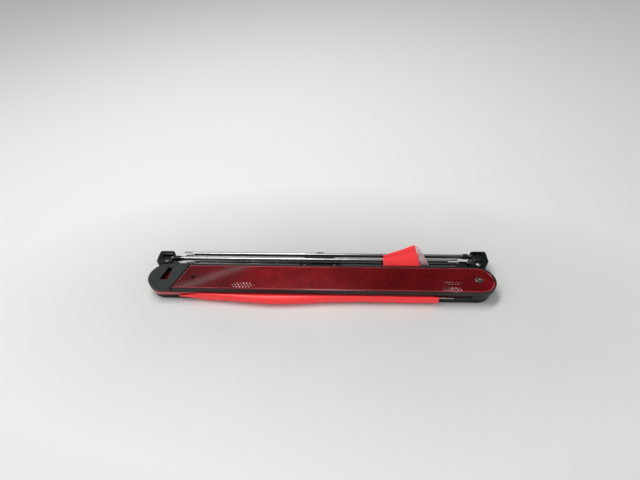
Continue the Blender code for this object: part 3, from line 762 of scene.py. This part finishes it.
def pivot_rivet(side, name, low, seat, shaft=2.6, head=3.9):
    """A semi-tubular rivet: its rolled head is a low ring round a hollow."""
    profile = [(head * 0.8, low), (head, low + 0.35), (head, low + 1.0), (shaft, low + 1.2)]
    profile += [(shaft, seat), (head * 0.93, seat), (head, seat + 0.35)]
    profile += [(head * 0.94, seat + 0.8), (head * 0.76, seat + 1.15), (head * 0.58, seat + 1.1)]
    profile += [(head * 0.46, seat + 0.75), (head * 0.40, seat + 0.1), (head * 0.2, seat - 0.1)]
    made = turned(f"{name}_pivot_head", side * PIVOT_X, 0, profile, BRASS)
    place(made, "base", "rivet_brass", f"{name}_pivot_rivet")


def build_rivets():
    pivot_rivet(1, "right", 0.2, 20.2)
    pivot_rivet(-1, "left", 0.2, 11.7)


# ---------------------------------------------------------------- films


def sheet_mesh(name, rows, material, thickness=0.25):
    shape = bmesh.new()
    grid = [[shape.verts.new(Vector(p) * MM) for p in row] for row in rows]
    for one, two in zip(grid, grid[1:]):
        for i in range(len(one) - 1):
            shape.faces.new((one[i], one[i + 1], two[i + 1], two[i]))
    made = finish_mesh(name, shape, material, 80)
    thick = made.modifiers.new("thickness", "SOLIDIFY")
    thick.thickness = thickness * MM
    thick.offset = 0.0
    return evaluated(made)


def between(t, a, b, c, d):
    """The Catmull-Rom value this share of the way from b to c."""
    square = 2 * a - 5 * b + 4 * c - d
    cube = 3 * b - a - 3 * c + d
    return 0.5 * (2 * b + (c - a) * t + square * t * t + cube * t**3)


def spline(points, steps):
    """A smooth curve through the points."""
    out = []
    for i in range(len(points) - 1):
        four = (points[max(i - 1, 0)], points[i], points[i + 1], points[min(i + 2, len(points) - 1)])
        out += [tuple(between(k / steps, *values) for values in zip(*four)) for k in range(steps)]
    out.append(points[-1])
    return out


def grown(x, length):
    """From 0 at the film's pointed end to 1 this far along."""
    t = min(1.0, max(0.0, (x - FILM_X[0]) / length))
    return t * t * (3.0 - 2.0 * t)


def film_section(x):
    """Up the bar's wall, over a soft fold and down outside it."""
    peak = math.exp(-(((x + 58.0) / 62.0) ** 2))
    width = 1.3 + (1.5 + 6.4 * peak) * grown(x, 60.0)
    crest = 9.1 + 4.8 * grown(x, 34.0)
    foot = 7.0 - 5.4 * grown(x, 44.0) + 0.5 * math.sin(x / 23.0) * grown(x, 60.0)
    foot += 1.4 * min(1.0, max(0.0, (x - 20.0) / 60.0))
    low = 6.6 - 5.4 * grown(x, 40.0)
    ripple = (0.18 * math.sin(x / 7.3) + 0.12 * math.sin(x / 3.1 + 1.0)) * grown(x, 60.0)
    inner = [(-23.3, low + (crest - 0.7 - low) * t) for t in (0.0, 0.4, 0.8)]
    inner.append((-23.55, crest - 0.7))
    # Shares of the fold's width and of its drop from the crest to the foot.
    outer = [(-0.35, 0.0), (-0.75, 0.08), (-1.0, 0.30), (-1.0, 0.55), (-0.85, 0.80), (-0.7, 1.0)]
    outer = [(-23.4 + width * a + ripple * b, crest - (crest - foot) * b) for a, b in outer]
    return spline(inner + outer, 4)


def evenly(start, end, count):
    return [start + (end - start) * i / count for i in range(count + 1)]


def squash_under_arm(piece):
    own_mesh(piece)


def build_base_film():
    rows = [[(x, y, z) for y, z in film_section(x)] for x in evenly(*FILM_X, 160)]
    strip = sheet_mesh("base_film_sheet", rows, FLUORESCENT)
    place(strip, "base", "base_film", "base_film")
    squash_under_arm(strip)

    rows = []
    for x in evenly(157.9, 176.1, 16):
        y = -24.6 + 0.12 * math.sin(x / 2.5)
        rows.append([(x, y, z) for z in (11.9, 12.5, 13.1, 13.6)])
    tab = sheet_mesh("base_film_tab_sheet", rows, CLEAR, 0.2)
    place(tab, "base", "clear_film", "base_film_tab")
    squash_under_arm(tab)


def flap_row(t):
    """One section of the top arm's flap, t of the way from its left edge to its right edge."""
    x = 88.0 + 49.5 * t
    rise, lift = 7.4 + 11.0 * t, 10.2 + 10.0 * t
    wave = 0.3 * math.sin(9.0 * t)
    points = [(x, 23.2, 17.0), (x, 23.2, 20.0), (x, 23.5, 22.2)]
    for s in (0.2, 0.4, 0.6, 0.8, 1.0):
        ridge = 0.7 if s == 0.6 else 0.0
        height = 22.8 + lift * s**0.85 + wave * s - 0.5 * ridge
        points.append((x - 7.2 * t * s, 23.6 + rise * s + ridge, height))
    return spline(points, 3)


def flap_tab_row(t):
    """One row of the clear tab beside the flap, t of the way across it."""
    row = []
    for s in (0.0, 0.2, 0.4, 0.6, 0.8, 0.95):
        x = 138.1 - 7.2 * s + t * (12.0 - 9.4 * s)
        wave = 0.25 * math.sin(7 * s + 3 * t)
        row.append((x, 23.6 + 18.0 * s, 22.9 + 19.6 * s**0.85 + wave))
    return row


def build_top_film():
    rows = [flap_row(t) for t in evenly(0.0, 1.0, 48)]
    flap = sheet_mesh("top_film_flap", rows, FLUORESCENT)
    place(flap, "top_arm", "top_film", "top_arm_film")
    rows = [flap_tab_row(t) for t in evenly(0.0, 1.0, 12)]
    tab = sheet_mesh("top_film_tab_sheet", rows, CLEAR, 0.2)
    place(tab, "top_arm", "clear_film", "top_arm_film_tab")


def build_middle_film():
    """The folded film inside the middle arm. fold is (y, z) round it."""
    fold = [(18.5, 7.8), (11.0, 7.8), (5.0, 7.8), (3.9, 8.05)]
    fold += [(3.9, 8.45), (5.0, 8.7), (11.0, 8.7), (17.4, 8.7)]
    rows = [[(x, y, z) for y, z in spline(fold, 3)] for x in evenly(-115.0, -60.6, 12)]
    inner = sheet_mesh("middle_film_fold", rows, FLUORESCENT)
    place(inner, "middle_arm", "middle_film", "middle_arm_film")


# ---------------------------------------------------------------- stage, camera and light


def area_light(name, where, target, size, power, colour=(1, 1, 1)):
    data = bpy.data.lights.new(name, "AREA")
    data.shape = "RECTANGLE"
    data.size, data.size_y = size
    data.energy = power
    data.color = colour
    made = bpy.data.objects.new(name, data)
    bpy.context.scene.collection.objects.link(made)
    made.location = where
    made.rotation_euler = (Vector(target) - Vector(where)).to_track_quat("-Z", "Y").to_euler()
    return made


def build_stage():
    shape = bmesh.new()
    bmesh.ops.create_grid(shape, x_segments=8, y_segments=8, size=3.0)
    floor = finish_mesh("floor", shape, paper_floor("pale_table"))
    floor.location.z = -0.0002

    world = bpy.data.worlds.new("studio")
    bpy.context.scene.world = world
    world.use_nodes = True
    nodes, links = world.node_tree.nodes, world.node_tree.links
    place_of = nodes.new("ShaderNodeTexCoord")
    split = nodes.new("ShaderNodeSeparateXYZ")
    mixed = nodes.new("ShaderNodeMath")
    mixed.operation = "MULTIPLY_ADD"
    mixed.inputs[1].default_value = 0.45
    ramp = nodes.new("ShaderNodeValToRGB")
    links.new(place_of.outputs["Generated"], split.inputs[0])
    links.new(split.outputs["X"], mixed.inputs[0])
    links.new(split.outputs["Y"], mixed.inputs[2])
    links.new(mixed.outputs[0], ramp.inputs[0])
    for mark, position, grey in zip(ramp.color_ramp.elements, (0.10, 0.58), (0.60, 0.05)):
        mark.position = position
        mark.color = (grey * 0.98, grey * 0.99, grey, 1.0)
    links.new(ramp.outputs[0], nodes["Background"].inputs[0])
    nodes["Background"].inputs[1].default_value = 1.0
    warm = (1.0, 0.99, 0.97)
    area_light("overhead", (-0.40, 0.32, 1.4), (0.0, 0.0, 0.0), (1.2, 0.3), 12.0, warm)
    area_light("tube", (-0.77, 1.235, 1.5), (-0.14, 0.0, 0.0), (0.56, 0.03), 0.11)
    area_light("lamp", (0.67, 1.12, 1.5), (0.17, -0.017, 0.0), (0.10, 0.035), 0.035)
    bpy.context.scene.view_settings.view_transform = "Standard"


def build_camera():
    """Looks at a point on the table beyond the bars, from the front and above."""
    azimuth, elevation, roll = map(math.radians, (4.64, 44.66, -2.77))
    target = Vector((-2.79, 93.41, 0.0)) * MM
    distance = 619.34 * MM
    ground = math.cos(elevation)
    back = Vector((math.sin(azimuth) * ground, -math.cos(azimuth) * ground, math.sin(elevation)))
    level = (-back).cross(Vector((0, 0, 1))).normalized()
    up = level.cross(-back)
    right = math.cos(roll) * level + math.sin(roll) * up
    up = -math.sin(roll) * level + math.cos(roll) * up
    data = bpy.data.cameras.new("photo_view")
    data.sensor_width = 36.0
    data.lens = 22.5
    data.clip_start = 0.02
    camera = bpy.data.objects.new("photo_view", data)
    bpy.context.scene.collection.objects.link(camera)
    turn = Matrix((right, up, back)).transposed().to_4x4()
    camera.matrix_world = Matrix.Translation(target + back * distance) @ turn
    bpy.context.scene.camera = camera


build_camera()
build_stage()
build_front_lens()
build_middle_lens()
build_base_lens()
build_legs()
knuckle(1, "right", OUTER_Y, 49.8, (8.5, 34.0))
knuckle(-1, "left", INNER_Y, 44.8, (4.5, 27.5))
build_clip()
build_rivets()
build_base_film()
build_top_film()
build_middle_film()
for node, material in (
    ("base_frame", BLACK),
    ("middle_arm_frame", TRAY),
    ("top_arm_frame", TRAY),
    ("top_arm_cap", CAP),
    ("right_spacer_post", BLACK),
    ("latch_bolt", BLACK),
    ("base_film_clamp", BLACK),
    ("top_arm_film_clamp", BLACK),
    ("right_pivot_washer", PLATED),
    ("left_pivot_washer", PLATED),
    ("left_knuckle_rivet", DULL),
    ("right_knuckle_rivet", PLATED),
    ("right_clip_rivet", PLATED),
    ("left_clip_rivet", PLATED),
):
    NODES[node].data.materials[0] = material
